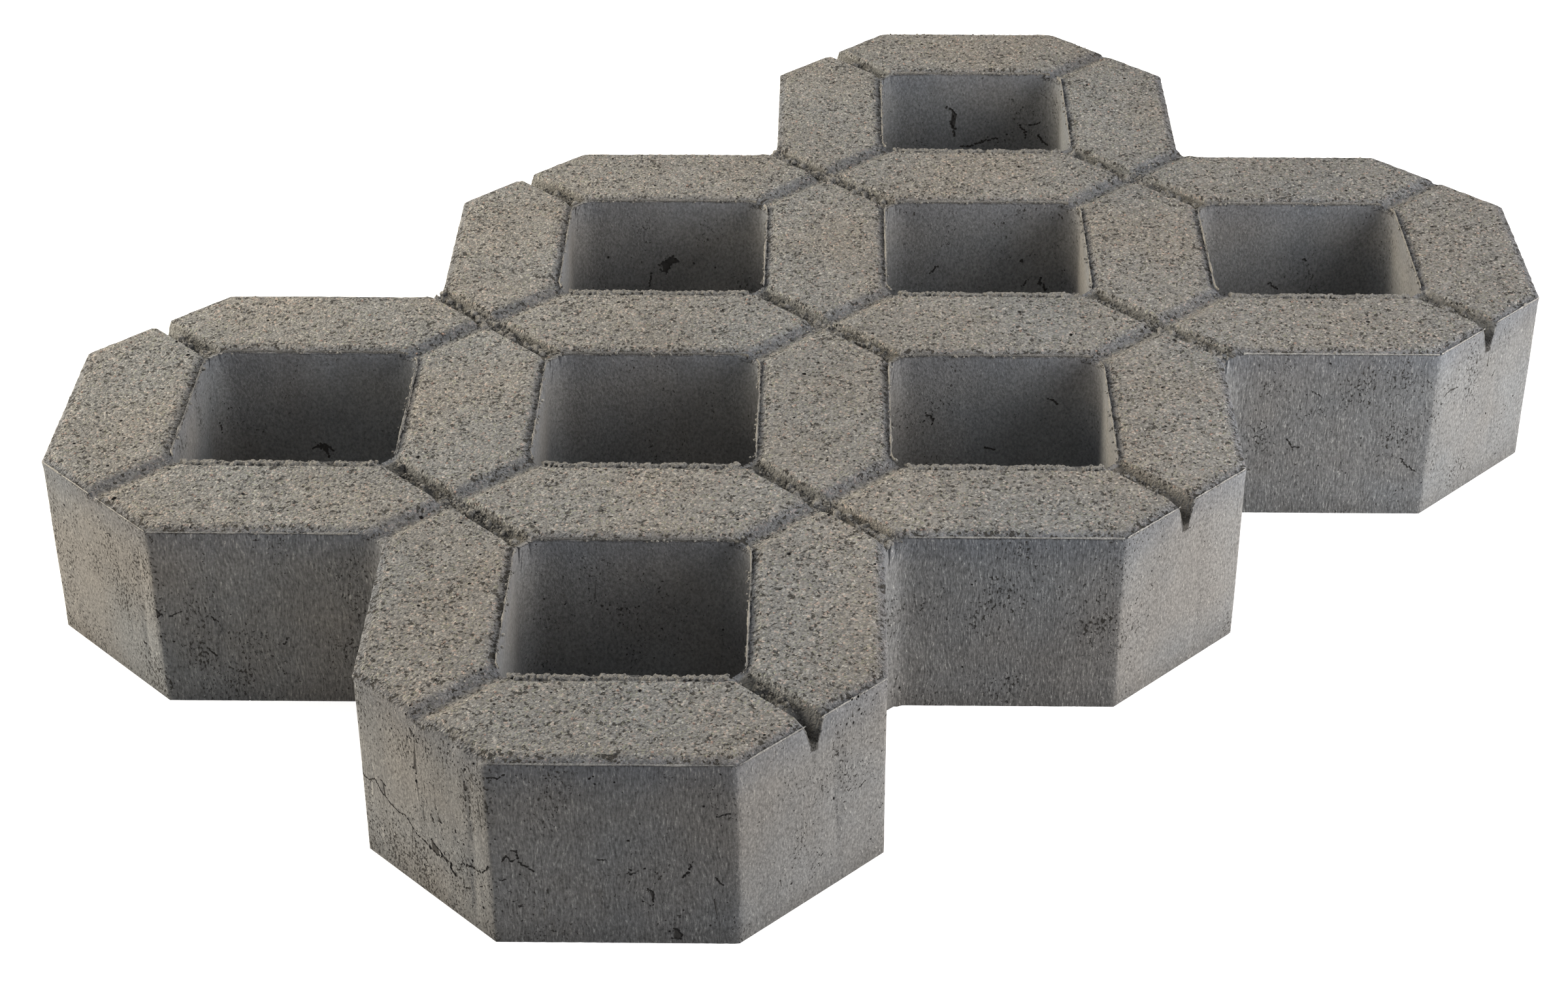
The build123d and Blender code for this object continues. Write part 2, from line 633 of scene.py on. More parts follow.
grainLook = {
    "pale": (0.39, 0.382, 0.36), "grey": (0.162, 0.157, 0.150),
    "rose": (0.34, 0.25, 0.215), "dark": (0.10, 0.096, 0.088),
    "fines": (0.37, 0.362, 0.345), "holeFines": (0.235, 0.228, 0.215),
    "crumb": (0.112, 0.109, 0.103), "grit": (0.32, 0.31, 0.29),
    "lump": (0.250, 0.243, 0.230), "burr": (0.215, 0.210, 0.200),
}


def makeGrainMaterial(name, first, second, relief):
    # the grainTone attribute picks the colour of each stone
    material, tree, shader = newMaterial(name)
    shader.inputs["Roughness"].default_value = 0.88
    value = attribute(tree, "grainTone")
    colour = value.mapped(0.0, 0.86).mix(grainLook[first], grainLook[second])
    colour = value.mapped(0.88, 0.90).mix(colour, grainLook["rose"])
    colour = value.mapped(0.95, 0.97).mix(colour, grainLook["dark"])
    fine = placeGroup(tree, sandGrain, {"Grains Per Metre": 2200.0})
    plug(colour.tinted(fine.out("Tone").mapped(0.3, 0.7, 0.65, 1.35)), shader.inputs["Base Color"])
    addBump(tree, fine.out("Height"), relief, shader)
    return material


grainMaterial = makeGrainMaterial("sandGrains", "grey", "pale", 0.0002)
finesMaterial = makeGrainMaterial("rimFines", "fines", "pale", 0.0002)
holeFinesMaterial = makeGrainMaterial("holeRimFines", "holeFines", "pale", 0.0002)
burrMaterial = makeGrainMaterial("holeBurr", "burr", "grey", 0.0003)
lumpMaterial = makeGrainMaterial("grooveLumps", "lump", "grey", 0.0003)
gritMaterial = makeGrainMaterial("grooveGrit", "crumb", "grit", 0.0002)


def finishPiece(piece, material):
    keepInside(piece)
    piece.data.validate()  # drops the doubled faces that thinning can leave
    piece.data.materials.clear()
    piece.data.materials.append(material)
    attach(piece, "root")
    print(piece.name, "triangles:", triangleCount(piece))


def stoneMesh(name, centres, sizes, seed, flat=0.6, cuts=1, tones=(0, 1)):
    # many irregular little stones, joined into one mesh
    chance = np.random.default_rng(seed)
    bpy.ops.mesh.primitive_ico_sphere_add(subdivisions=cuts, radius=1)
    template = bpy.context.object
    shape, normals = vertexArrays(template)
    corners = np.array([list(face.vertices) for face in template.data.polygons])
    bpy.data.objects.remove(template)
    count = len(centres)
    stretch = chance.uniform(flat, 1.0, (count, 1, 3))
    lumps = chance.uniform(0.82, 1.12, (count, len(shape), 1))
    spin = chance.normal(size=(count, 4))
    spin /= np.linalg.norm(spin, axis=1)[:, None]
    w, i, j, k = spin.T
    turn = np.array([
        [1 - 2 * (j * j + k * k), 2 * (i * j - k * w), 2 * (i * k + j * w)],
        [2 * (i * j + k * w), 1 - 2 * (i * i + k * k), 2 * (j * k - i * w)],
        [2 * (i * k - j * w), 2 * (j * k + i * w), 1 - 2 * (i * i + j * j)]]).transpose(2, 0, 1)
    stones = shape[None] * lumps * stretch * np.asarray(sizes)[:, None, None]
    points = np.einsum("nab,nvb->nva", turn, stones) + np.asarray(centres)[:, None]
    faces = corners[None] + len(shape) * np.arange(count)[:, None, None]
    mesh = bpy.data.meshes.new(name)
    mesh.from_pydata(points.reshape(-1, 3).tolist(), [], faces.reshape(-1, 3).tolist())
    addMark(mesh, "grainTone", np.repeat(chance.uniform(*tones, count), len(shape)))
    return newPiece(name, mesh)


def surfaceSample(piece, count, seed, chooser):
    # places spread at random over the faces that chooser gives a weight
    chance = np.random.default_rng(seed)
    mesh = piece.data
    mesh.calc_loop_triangles()
    total = len(mesh.loop_triangles)
    corners = np.empty(total * 3, dtype=np.int64)
    mesh.loop_triangles.foreach_get("vertices", corners)
    places, normals = vertexArrays(piece)
    a, b, c = (places[corners.reshape(-1, 3)[:, n]] for n in range(3))
    cross = np.cross(b - a, c - a)
    area = np.linalg.norm(cross, axis=1)
    facing = cross / np.maximum(area, 1e-12)[:, None]
    weight = area * chooser((a + b + c) / 3, facing)
    picked = chance.choice(total, count, p=weight / weight.sum())
    u, v = chance.uniform(size=(2, count, 1))
    over = u + v > 1
    u, v = np.where(over, 1 - u, u), np.where(over, 1 - v, v)
    found = a[picked] + u * (b - a)[picked] + v * (c - a)[picked]
    return found, facing[picked]


# The slab itself, a finely divided copy of the CAD solid with its surface roughened

slab = {
    "voxel": 0.00125,
    "triangles": 98000,
    "pitVoxel": 0.00032,
    "crackVoxel": 0.00020,
    "wallPits": 170,  # each with a few smaller ones about it
    "landPits": 760,
    "wallPitRadius": (0.00036, 0.00013, 0.0006),  # least, usual excess, most excess
    "landPitRadius": (0.00042, 0.00022, 0.0008),
    "bandPitRadius": (0.00034, 0.00010, 0.0004),
    "markRadius": (0.00030, 0.00036),  # of a mark with no weight, and what each unit of weight adds
    "smoothUpTo": 50,  # degrees between faces
}


def keepInside(piece):
    # nothing reaches past the faces of the CAD solid's box
    places, normals = vertexArrays(piece)
    movePoints(piece, np.clip(places, np.array(lowCorner), np.array(highCorner)))
    piece.data.update()


def copyOfNode(node, name):
    piece = newPiece(name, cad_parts[node].data.copy())
    piece.data.materials.clear()
    activate(piece)
    editing(True)
    bpy.ops.mesh.select_all(action="SELECT")
    bpy.ops.mesh.remove_doubles(threshold=0.00001)
    editing(False)
    return piece


def joinPieces(pieces):
    activate(pieces[0])
    for piece in pieces:
        piece.select_set(True)
    bpy.ops.object.join()
    return pieces[0]


def oneSkin(piece, voxel, roughness, size, share):
    # overlapping stones become one lumpy closed skin
    evenSkin(piece, voxel)
    roughen(piece, piece.name + "Torn", size, roughness)
    thinOut(piece, share)


def inDeepGroove(x, z):
    narrow = np.clip((slabHeight - z) / plan["deepDepth"], 0, 1)
    reach = plan["deepHalf"] + (plan["deepFloor"] - plan["deepHalf"]) * narrow
    inside = 1 - smoothStep(0.0004, 0.0014, lineGap(x, cellStep / 2) - reach)
    inside *= np.abs(x) < lastDeep
    return inside * (z > slabHeight - plan["deepDepth"] - 0.002) * smoothStep(0.001, 0.003, slabHeight - z)


# named marks on the walls of each cell, back for the far wall of its hole: how heavy the mark is,
# and points along it, in millimetres along the wall and up it
scars = {
    ("left", 0): [
        (0.45, (-64.1, 39.1), (-64.8, 34.4), (-68.2, 34.0), (-72.1, 36.8), (-75.9, 32.2), (-80.0, 30.1)),
        (0.55, (-80.0, 30.1), (-84.6, 28.6), (-88.5, 29.5), (-90.9, 27.5), (-94.4, 24.4), (-98.6, 23.8)),
        (1.3, (-98.6, 23.8), (-102.7, 22.8), (-106.0, 21.7), (-109.9, 22.6), (-113.2, 22.1)),
        (1.7, (-113.2, 22.1), (-114.5, 18.9), (-116.5, 17.7)),
        (0.8, (-103.2, 27.1), (-104.7, 25.6), (-107.1, 24.7), (-109.5, 23.4)),
        (1.0, (-119.8, 25.7), (-124.1, 27.2), (-126.9, 27.2), (-131.6, 28.6), (-135.2, 33.0)),
        (0.9, (-104.0, 38.9), (-105.4, 36.0)), (0.8, (-96.9, 55.1), (-95.6, 54.3)), (0.6, (-96.3, 45.2)),
        (0.6, (-120.5, 15.6), (-123.9, 17.0)), (0.8, (-63.5, 35.1), (-65.6, 34.2)),
    ],
    ("front", 0): [
        (0.8, (-35.6, 40.9), (-33.5, 40.5), (-33.1, 37.4), (-35.3, 35.9), (-37.2, 38.5), (-38.4, 36.2)),
        (0.8, (-32.9, 35.5), (-31.2, 34.0), (-28.8, 32.5), (-27.6, 31.7)),
        (0.6, (-39.9, 27.7), (-37.5, 28.1)), (0.9, (4.5, 31.3), (7.0, 31.3)),
        (1.1, (23.5, 29.9), (25.6, 32.3), (26.0, 34.0)), (0.55, (26.0, 34.0), (26.6, 36.5)),
        (0.6, (35.9, 56.0), (37.1, 56.8), (39.8, 57.8)), (0.7, (34.6, 29.7), (35.8, 27.7), (37.3, 26.2)),
        (0.6, (11.3, 24.4), (13.1, 23.1), (12.9, 20.1), (12.8, 17.0)),
        (1.1, (18.1, 5.2), (20.5, 6.4), (22.6, 4.1), (22.3, 2.1), (19.2, 2.0)),
        (0.45, (-6.1, 37.0), (-2.8, 37.0)), (0.8, (5.3, 45.5)), (0.7, (10.3, 33.7)),
        (0.8, (-7.2, 72.0), (-6.2, 72.9)), (0.6, (-35.6, 18.4)), (0.6, (-33.5, 16.5), (-32.3, 16.0)),
        (0.7, (32.5, 8.1)), (0.6, (-42.3, 72.0), (-40.2, 72.0), (-38.1, 71.7), (-35.7, 73.6)),
    ],
    ("front", 3): [
        (1.2, (-92.5, 76.0), (-91.5, 73.5), (-90.0, 72.0)), (1.0, (-88.5, 75.5), (-87.0, 73.0)),
    ],
    ("right", 0): [
        (0.9, (-190.6, 39.2), (-189.4, 38.6)), (0.55, (-177.1, 48.5)),
        (0.7, (-174.8, 38.9), (-177.3, 37.3)), (0.6, (-165.4, 23.8)), (0.6, (-209.9, 25.9)),
    ],
    ("front", 1): [
        (0.8, (-42.9, 42.4), (-41.4, 40.4), (-42.8, 39.4)), (0.6, (-38.2, 39.4), (-34.7, 41.4)),
        (0.6, (-24.8, 24.8), (-23.3, 22.8), (-21.8, 21.3)), (0.6, (-22.0, 39.5), (-19.7, 37.5)),
        (0.6, (4.8, 27.1), (6.7, 30.2)), (0.7, (3.9, 13.3)),
    ],
    ("left", 1): [
        (1.2, (76.7, 21.4), (75.3, 21.1)), (0.8, (92.8, 64.6), (89.9, 64.0)),
    ],
    ("back", 1): [
        (1.5, (-2.7, 32.1), (0.8, 30.6), (2.5, 27.3)), (1.4, (-4.5, 31.5), (-1.0, 33.5), (2.0, 31.0)),
        (1.2, (0.5, 34.0), (4.5, 30.0)), (1.1, (-45.3, 46.3), (-44.2, 41.5)),
    ],
    ("front", 6): [
        (0.9, (-17.4, 37.2), (-15.3, 33.9), (-14.1, 31.8)), (0.7, (-14.2, 32.9), (-11.4, 32.9)),
        (0.6, (-25.8, 42.6), (-28.0, 41.5)), (0.6, (-4.9, 57.8), (-8.9, 60.4)),
        (0.8, (31.9, 27.7), (33.1, 25.5), (38.2, 21.2)), (0.7, (-18.3, 15.8)), (0.6, (7.9, 21.0)),
    ],
    ("right", 6): [
        (0.8, (171.2, 55.2), (175.6, 56.6), (180.6, 55.6)), (0.8, (206.6, 50.5), (208.5, 53.0)),
        (0.8, (205.5, 32.9)), (0.7, (220.9, 30.5)),
    ],
    ("back", 3): [
        (1.4, (-28.1, 50.2), (-25.2, 47.8), (-25.2, 44.9)), (1.3, (-29.4, 46.9)),
        (1.0, (22.1, 57.8), (24.6, 57.4), (27.2, 54.6)), (1.1, (-2.8, 34.0), (1.5, 32.8)),
    ],
    ("back", 4): [
       
        (1.5, (-6.3, 45.0), (-3.7, 47.2), (0.8, 50.1), (2.7, 47.9), (-1.2, 45.8), (-2.6, 41.5), (-5.7, 42.9)),
        (1.0, (-9.5, 41.4), (-9.9, 38.6), (-11.0, 34.3)), (1.2, (-29.6, 49.2)), (1.3, (20.0, 44.8)),
    ],
    ("back", 5): [
        (1.4, (19.2, 48.9), (19.5, 47.6)), (1.6, (27.9, 39.6), (27.7, 36.9), (29.8, 36.2), (31.2, 32.9)),
        (1.1, (22.6, 38.5), (20.9, 35.8)), (1.1, (-22.7, 42.0), (-18.7, 46.0)),
    ],
    ("back", 6): [
        (1.5, (7.0, 49.9), (8.1, 48.8)), (1.1, (-8.1, 37.8), (-3.8, 34.9)),
    ],
    ("back", 7): [
        (1.8, (-11.1, 60.8), (-8.0, 58.8), (-7.0, 56.0), (-9.0, 51.3), (-7.0, 47.9), (-6.9, 44.4)),
        (1.0, (-3.7, 38.9), (1.3, 39.0), (7.5, 41.7), (14.6, 43.5)),
        (1.6, (25.9, 50.8), (28.6, 46.7), (28.7, 43.2)), (1.2, (30.3, 50.8), (35.2, 51.5)),
        (1.4, (34.9, 45.3), (37.5, 41.9), (40.7, 40.5)),
    ],
}

# patches of close small pits: wall, cell, from and to along the wall, from and to in height, how many
pittedBands = [
    ("left", 0, -134, -92, 66, 77, 90), ("left", 0, -134, -64, 6, 66, 120),
    ("left", 1, 64, 134, 6, 76, 120), ("left", 0, -133, -123, 6, 70, 60),
    ("left", 0, -120, -96, 10, 44, 45), ("right", 0, -190, -162, 66, 77, 45),
    ("right", 0, -172, -160, 8, 66, 40), ("right", 0, -214, -190, 8, 20, 12),
    ("right", 6, 168, 200, 40, 62, 16), ("front", 0, -47, 47, 66, 76, 30),
    ("front", 0, -44, 44, 6, 34, 40), ("front", 6, -44, 44, 8, 70, 45),
    ("front", 1, -46, -14, 30, 46, 14), ("back", 7, -4, 42, 36, 46, 16), ("back", 0, -40, 40, 28, 60, 50),
    ("back", 4, -14, 4, 30, 50, 8), ("back", 5, 14, 40, 30, 46, 12),
]

# upright lines that the mould's joints left on the end walls
mouldJoints = {
    "width": 0.0016, "depth": 0.0006,
    "rightWalls": (-0.1892, 0.0108, 0.2108),
    "leftWalls": (-0.1268, 0.0732),
}

# arrises that crumbled: middle, reach
crumbled = {
    "places": [
        ((-0.297, -0.132, 0.078), 0.006), ((-0.297, -0.118, 0.078), 0.005), ((-0.184, -0.197, 0.078), 0.006),
        ((-0.176, -0.197, 0.078), 0.006), ((-0.166, -0.197, 0.078), 0.005), ((0.170, -0.197, 0.078), 0.005)],
    "depth": 0.0022,
}

# relief of the slab: size of the lumps, height, where it lies, the cloud value that stays in place
reliefs = {
    "broadSwell": (0.030, -0.0008, "land", 0.15),
    "landGrain": (0.0020, -0.0010, "land", 0.2),
    "grooveLumps": (0.0060, 0.0020, "groove", 0.5),
    "grooveRubble": (0.0026, 0.0012, "groove", 0.5),
    "rimCrumble": (0.0030, -0.0006, "rim", 0.3),
    "wallDraw": (0.0040, -0.0004, "wall", 0.1),
    "wallSwell": (0.035, -0.0005, "wall", 0.1),
    "brokenArris": (0.0030, -crumbled["depth"], "loss", 0.15),
}
drawnOut = 14  # how far the mould draws the relief of the walls upright

# loose sand in the deep grooves, and how far its level lies below the lands
fill = {
    "level": 0.0044, "swell": 0.0016, "lumps": 0.0016, "pocket": 0.0055,
    "atHole": 0.0022,  # level with the rim where a groove meets a hole
    "atCorner": 0.0034,
    "floorLift": 0.001,
}


def wallPlace(wall, cell, along, height):
    # a place on a wall, from how far along it and how high it is
    if wall == "left":
        return -halfLength, along, height
    if wall == "right":
        return along, -halfWidth, height
    back = -plan["cellHalf"] if wall == "front" else plan["holeHalf"]
    x, y = latticeTurn(along, back)
    centreX, centreY = cellCentres[cell]
    return centreX + x, centreY + y, height


def pitRadii(chance, limits, count=None):
    least, usual, most = limits
    return least + np.clip(chance.exponential(usual, count), 0, most)


def scarBeads():
    # places and sizes of the beads that hollow out the named marks
    chance = np.random.default_rng(5)
    lightest, more = slab["markRadius"]
    for (wall, cell), marks in scars.items():
        for weight, *points in marks:
            radius = lightest + more * weight
            ends = list(zip(points[:-1], points[1:])) or [(points[0], points[0])]
            for (along, height), (nextAlong, nextHeight) in ends:
                run = sqrt((nextAlong - along) ** 2 + (nextHeight - height) ** 2) / 1000
                for step in np.linspace(0, 1, max(2, int(run / radius / 0.8) + 1)):
                    a = (along + (nextAlong - along) * step) / 1000 + chance.normal(0, radius * 0.35)
                    h = (height + (nextHeight - height) * step) / 1000 + chance.normal(0, radius * 0.35)
                    yield wallPlace(wall, cell, a, h), radius * chance.uniform(0.65, 1.0)


def bandBeads():
    chance = np.random.default_rng(5)
    for wall, cell, fromAlong, toAlong, fromHeight, toHeight, count in pittedBands:
        for turn in range(count):
            a = chance.uniform(fromAlong, toAlong) / 1000
            h = chance.uniform(fromHeight, toHeight) / 1000
            yield wallPlace(wall, cell, a, h), pitRadii(chance, slab["bandPitRadius"])


def onWalls(middles, facing):
    # twice as much on the left walls, and a little inside the holes
    x, y, z = middles.T
    hole, outline = wallGaps(x, y)
    end = np.where(x < -halfLength + 0.001, 2.0, 1.0)
    upright = (np.abs(facing[:, 2]) < 0.3) * (z > 0.003) * (z < slabHeight - 0.004)
    return upright * np.where(outline < 0.001, end, 0.15)


def onLands(middles, facing):
    x, y, z = middles.T
    return (facing[:, 2] > 0.6) * (z > slabHeight - 0.0045) * smoothStep(0.002, 0.005, wallGap(x, y))


def clustered(piece, places, chance, spread, most):
    # a few further places about each one, drawn back onto the surface
    more = []
    for place in places:
        more += [place + chance.normal(0, spread, 3) for turn in range(chance.integers(0, most))]
    found = [piece.closest_point_on_mesh(Vector(place))[1] for place in more]
    return np.concatenate((places, np.array([list(place) for place in found])))


def beadStones(piece, name, beads, chance):
    # stones with their middles drawn onto the surface, a little in or out
    centres = []
    sizes = []
    for place, size in beads:
        spot, normal = piece.closest_point_on_mesh(Vector(place))[1:3]
        centres.append(list(spot - normal * size * chance.uniform(-0.1, 0.25)))
        sizes.append(size)
    return stoneMesh(name, centres, sizes, 6, 0.7, 2)


def makeCutters(piece):
    # cracks, and then air holes and small losses, to be taken off the slab
    chance = np.random.default_rng(9)
    cracks = beadStones(piece, "cracks", scarBeads(), chance)
    oneSkin(cracks, slab["crackVoxel"], 0.0003, 0.0010, 0.22)
    beads = beadStones(piece, "bandBeads", bandBeads(), chance)
    walls, facing = surfaceSample(piece, slab["wallPits"], 7, onWalls)
    walls = clustered(piece, walls, chance, 0.0014, 5)
    radii = pitRadii(chance, slab["wallPitRadius"], len(walls))
    holes = stoneMesh("wallHoles", walls, radii, 8, 0.6, 2)
    lands, facing = surfaceSample(piece, slab["landPits"], 9, onLands)
    radii = pitRadii(chance, slab["landPitRadius"], len(lands))
    gaps = stoneMesh("landHoles", lands - facing * radii[:, None] * 0.1, radii, 10, 0.6, 2)
    pits = joinPieces([beads, holes, gaps])
    oneSkin(pits, slab["pitVoxel"], 0.0004, 0.0010, 0.30)
    for cutter in (cracks, pits):
        print(cutter.name, "triangles:", triangleCount(cutter))
    return cracks, pits


def jointLines(x, y, z):
    # one on the mould's joints, which waver a little and fade at both ends
    joint = np.zeros(len(x))
    bend = 0.0006 * np.sin(z * 95) + 0.0003 * np.sin(z * 260)
    onRight = y < -halfWidth + 0.002
    onLeft = x < -halfLength + 0.002
    for walls, along, onWall in (("rightWalls", x, onRight), ("leftWalls", y, onLeft)):
        for middle in mouldJoints[walls]:
            line = np.exp(-((along - middle - bend) / mouldJoints["width"]) ** 2)
            joint = np.maximum(joint, line * onWall)
    return joint * smoothStep(0.001, 0.012, z) * (1 - smoothStep(slabHeight - 0.016, slabHeight - 0.008, z))


def paintPlaces(piece):
    places, normals = vertexArrays(piece)
    x, y, z = places.T
    gap = wallGap(x, y)
    up = normals[:, 2]
    high = smoothStep(slabHeight - 0.016, slabHeight - 0.012, z)
    inGroove = inDeepGroove(x, z)
    nearTop = smoothStep(slabHeight - 0.006, slabHeight - 0.003, z)
    side = 1 - smoothStep(0.1, 0.5, np.abs(up))
    onLand = smoothStep(0.3, 0.8, up) * high * (1 - inGroove) * smoothStep(0.0005, 0.0025, gap)
    paintGroup(piece, "land", onLand)
    paintGroup(piece, "groove", inGroove * smoothStep(0.4, 0.8, up) * 0.6)
    paintGroup(piece, "rim", (1 - smoothStep(0.001, 0.005, gap)) * nearTop)
    paintGroup(piece, "wall", side * (1 - nearTop) * (1 - inGroove))
    paintGroup(piece, "joint", jointLines(x, y, z))
    loss = np.zeros(len(x))
    for middle, reach in crumbled["places"]:
        away = np.linalg.norm((places - np.array(middle)) * (1.0, 1.0, 1.6), axis=1)
        loss = np.maximum(loss, 1 - smoothStep(reach * 0.4, reach, away))
    paintGroup(piece, "loss", loss)


def endsAtCorner(x):
    # the second and fourth deep grooves run out in the outline's re-entrant corners
    return np.abs(np.abs(x) - cellStep) < 0.02


def fillGrooves(piece):
    # loose sand has filled the deep grooves to a few millimetres below the lands, and left pockets
    places, normals = vertexArrays(piece)
    x, y, z = places.T
    across = (x + cellStep / 2) % cellStep - cellStep / 2
    hole, outline = wallGaps(x, y)
    slope = plan["deepDepth"] / (plan["deepHalf"] - plan["deepFloor"])
    cutTo = slabHeight - np.clip((plan["deepHalf"] - np.abs(across)) * slope, 0, plan["deepDepth"])
    inside = (np.abs(across) < plan["deepHalf"] + 0.0005) & (z > cutTo - 0.0012)
    inside &= (np.abs(x) < lastDeep) & (hole > -0.0005)
    inside &= outline > np.where(endsAtCorner(x), -0.0046, 0.003)
    chosen = np.nonzero(inside)[0]
    x, y, z, across, hole, outline = (values[chosen] for values in (x, y, z, across, hole, outline))
    atCorner = endsAtCorner(x)
    spots = [Vector(place) for place in places[chosen]]
    broad = np.array([mathNoise(spot * 55) for spot in spots])
    lumps = np.array([mathNoise(spot * 260) for spot in spots])
    pocket = np.array([mathNoise(Vector((0, place[1] * 120, place[0] * 30))) for place in places[chosen]])
    side = 1 - smoothStep(-0.0016, 0.0016, across)
    deep = fill["level"] + fill["swell"] * broad + fill["lumps"] * lumps
    deep += fill["pocket"] * smoothStep(0.0, 0.16, pocket) * side
    deep += (fill["atHole"] - deep) * (1 - smoothStep(0.001, 0.008, hole))
    deep += np.where(atCorner, (fill["atCorner"] - deep) * (1 - smoothStep(0.002, 0.007, outline)), 0)
    fade = np.maximum(smoothStep(0.004, 0.013, outline), atCorner)
    lowest = plan["deepDepth"] + fill["floorLift"]
    raised = np.maximum(z, slabHeight - lowest + (lowest - deep) * fade)
    # what is raised beside a hole is moved flush with the hole's wall
    lip = np.where((raised > z + 0.0004) & (hole < 0.0015), hole, 0)
    stepX, stepY = awayFromWalls(x, y, True)
    places[chosen, 0] -= stepX * lip
    places[chosen, 1] -= stepY * lip
    places[chosen, 2] = raised
    movePoints(piece, places)
    piece.data.update()


def markCutFaces(piece):
    # a face all of whose points are off the old skin belongs to a crack or a pit
    mesh = piece.data
    onSkin = np.empty(len(mesh.vertices))
    mesh.attributes["skin"].data.foreach_get("value", onSkin)
    corners = np.empty(len(mesh.loops), dtype=np.int64)
    starts = np.empty(len(mesh.polygons), dtype=np.int64)
    counts = np.empty(len(mesh.polygons), dtype=np.int64)
    mesh.loops.foreach_get("vertex_index", corners)
    mesh.polygons.foreach_get("loop_start", starts)
    mesh.polygons.foreach_get("loop_total", counts)
    cut = np.maximum.reduceat(onSkin[corners], starts) < 0.5
    addMark(mesh, "cutAway", np.repeat(cut.astype(float), counts), "CORNER")
    mesh.attributes.remove(mesh.attributes["skin"])
    print("cut faces:", int(cut.sum()), "of", len(cut))


def makeSlab():
    piece = copyOfNode("grass_paver", "paverBlock")
    evenSkin(piece, slab["voxel"])
    print("slab divided:", len(piece.data.vertices))
    fillGrooves(piece)
    paintPlaces(piece)
    bpy.ops.object.empty_add(location=(0, 0, 0))
    drawn = bpy.context.object
    drawn.scale = (1, 1, drawnOut)
    bpy.context.view_layer.update()
    for name, (size, strength, group, middle) in reliefs.items():
        roughen(piece, name, size, strength, group, middle, drawn if name == "wallDraw" else None)
    press = piece.modifiers.new("mouldJoint", "DISPLACE")
    press.strength = -mouldJoints["depth"]
    press.mid_level = 0
    press.vertex_group = "joint"
    applyAll(piece)
    bpy.data.objects.remove(drawn)
    before = len(piece.data.polygons) * 2
    if before > slab["triangles"]:
        thinOut(piece, slab["triangles"] / before)
    keepInside(piece)
    addMark(piece.data, "skin", np.ones(len(piece.data.vertices)))  # one outside, none in what is cut away
    for cutter in makeCutters(piece):
        cut = piece.modifiers.new(cutter.name, "BOOLEAN")
        cut.operation = "DIFFERENCE"
        cut.solver = "MANIFOLD"
        cut.object = cutter
        applyAll(piece)
        bpy.data.objects.remove(cutter)
    piece.vertex_groups.clear()
    markCutFaces(piece)
    places, normals = vertexArrays(piece)
    hole, outline = wallGaps(places[:, 0], places[:, 1])
    addMark(piece.data, "inHole", (hole < outline).astype(float))
    addMark(piece.data, "edgeGap", np.minimum(hole, outline) * 1000)  # millimetres in from the walls
    addMark(piece.data, "filled", smoothStep(0.55, 0.85, normals[:, 2]))  # level floors, told from the banks
    activate(piece)
    bpy.ops.object.shade_smooth_by_angle(angle=radians(slab["smoothUpTo"]))
    finishPiece(piece, concrete)
    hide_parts("grass_paver")
    return piece


paverBlock = makeSlab()


# The fin of fines squeezed up along the top edge of every wall, and its crumbs

rims = {
    "step": 0.0011,
    "outerFin": 0.00034, "outerStretch": 1.25,  # how much taller than wide
    "holeFin": 0.00038, "holeStretch": 2.1,
    "bedded": 0.0002,  # how far the fins are sunk into the edge
    "crumbRadius": (0.0004, 0.0009),
    "fringeRadius": (0.0005, 0.0011), "burrTop": 0.0021,
    "burrBeads": 8,  # at each place along an edge
    "worn": (-0.1335, -0.0665),  # the front cell's left wall has lost its fin
    "fringeVoxel": 0.00040,
}


def topEdgeLines(name, ofHoles):
    # the edges where the walls meet the narrow ledge under the top, cut into short steps
    piece = copyOfNode("grass_paver", name)
    places, normals = vertexArrays(piece)
    x, y, z = places.T
    hole, outline = wallGaps(x, y)
    onLine = np.abs(z - (slabHeight - plan["rimDrop"])) < 0.00002
    onLine &= np.abs(hole if ofHoles else outline) < 0.00008
    onLine &= (x > -halfLength + 0.0005) | (y < rims["worn"][0]) | (y > rims["worn"][1])
    stepX, stepY = awayFromWalls(x, y, False)
    onLine &= ofHoles | (stepX + stepY > 0.3)  # the outer edges at the back are clean
    editing(True)
    bpy.ops.mesh.select_mode(type="EDGE")
    bpy.ops.mesh.select_all(action="DESELECT")
    editing(False)
    for edge in piece.data.edges:
        edge.select = not (onLine[edge.vertices[0]] and onLine[edge.vertices[1]])
    editing(True)
    bpy.ops.mesh.delete(type="EDGE")
    for halving in range(7):
        bpy.ops.mesh.select_all(action="DESELECT")
        editing(False)
        points = piece.data.vertices
        for edge in piece.data.edges:
            start, end = edge.vertices
            edge.select = (points[start].co - points[end].co).length > rims["step"] * 1.5
        found = any(edge.select for edge in piece.data.edges)
        editing(True)
        if not found:
            break
        bpy.ops.mesh.subdivide(number_cuts=1)
    editing(False)
    print(name, "edge points:", len(piece.data.vertices))
    return piece


